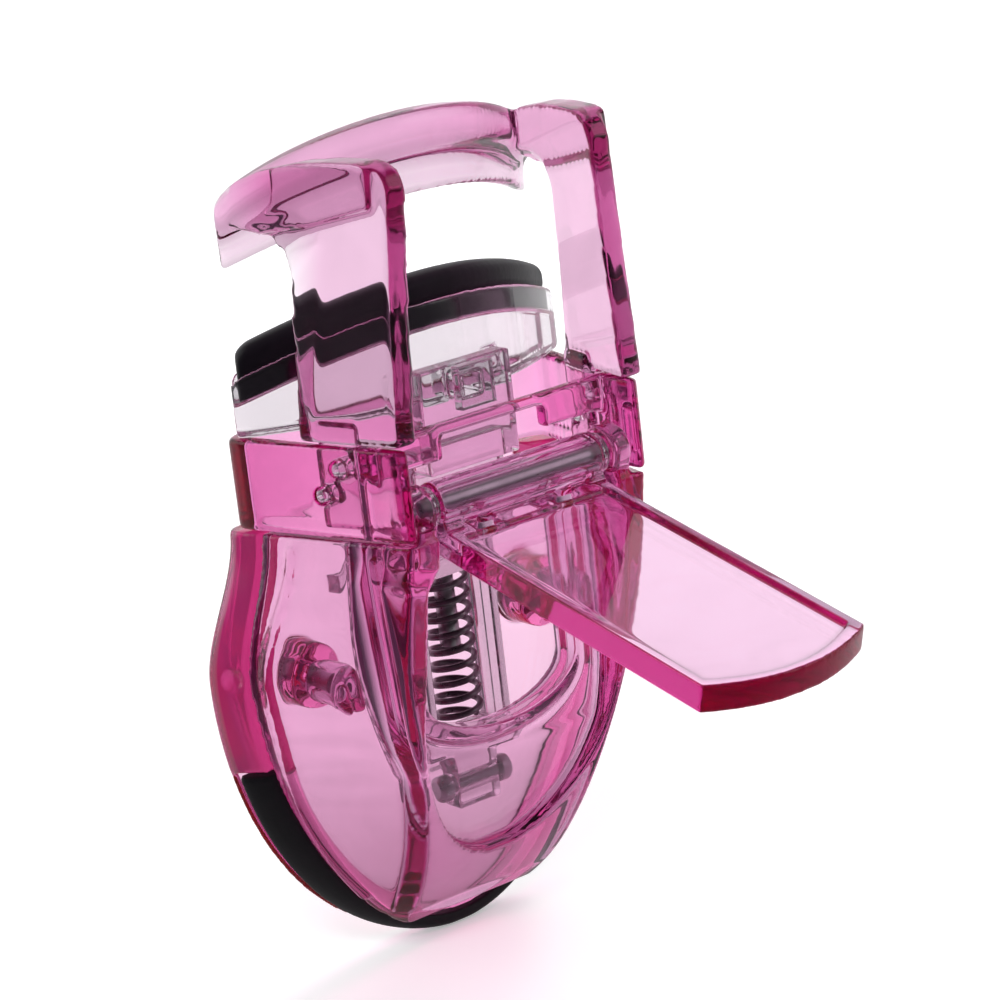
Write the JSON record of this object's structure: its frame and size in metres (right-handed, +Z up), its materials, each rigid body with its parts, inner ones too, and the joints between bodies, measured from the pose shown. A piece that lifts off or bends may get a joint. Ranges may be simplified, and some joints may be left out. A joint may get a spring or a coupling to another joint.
{
  "type": "pocket eyelash curler",
  "caption": "Pocket eyelash curler: clear pink shell, fixed arched upper jaw on two posts, sliding lower jaw with a black silicone pad, folding thumb lever and return spring.",
  "frame": {"origin": "a point on the flat back face, on the centre plane, 26 mm above the lowest point of the body", "axes": "+Z up along the posts, +Y towards the face (out of the back face), -Y towards the thumb lever, +X across the jaws"},
  "size_m": [0.0426, 0.051, 0.073],
  "materials": {
    "clear_pink": "clear tinted, polished",
    "clear_magenta": "clear tinted, polished",
    "clear_pink_lever": "clear tinted, polished",
    "clear_plastic": "clear, polished",
    "black_silicone": "satin",
    "black_rubber": "matt",
    "steel": "ground",
    "spring_steel": "drawn wire"
  },
  "bodies": {
    "body": {"front_shell": "clear_pink", "upper_frame": "clear_pink", "back_cover": "clear_magenta", "neck_collar": "clear_magenta", "grip_bumper": "black_rubber", "spring_seat": "clear_plastic", "hinge_spacer_left": "clear_plastic", "hinge_spacer_right": "clear_plastic", "hinge_pin": "steel", "spring_guide_rod": "steel", "case_screw_left": "steel", "case_screw_right": "steel", "lock_pin_left_front": "clear_plastic", "lock_pin_left_rear": "clear_plastic", "lock_pin_right_front": "clear_plastic", "lock_pin_right_rear": "clear_plastic", "return_spring": "spring_steel"},
    "thumb_lever": {"lever": "clear_pink_lever", "lift_pin": "steel"},
    "jaw_slider": {"jaw_carrier": "clear_plastic", "silicone_pad": "black_silicone", "lift_stem": "clear_plastic", "jaw_clip": "clear_plastic", "foot_pin": "steel"}
  },
  "joints": [
    {"name": "lever_press", "type": "hinge", "parent": "body", "child": "thumb_lever", "pos_m": [0, -0.0177, 0.0167], "axis": [1, 0, 0], "range_deg": [0, 75], "stiffness_Nm_per_rad": 0.08, "springref_deg": -28.65},
    {"name": "jaw_slide", "type": "slide", "parent": "body", "child": "jaw_slider", "axis": [0, 0, 1], "range_m": [0, 0.0062], "deforming": ["return_spring"]}
  ],
  "couplings": [
    {"joint": "jaw_slide", "follows": "lever_press", "m_per_rad": 0.004736}
  ]
}
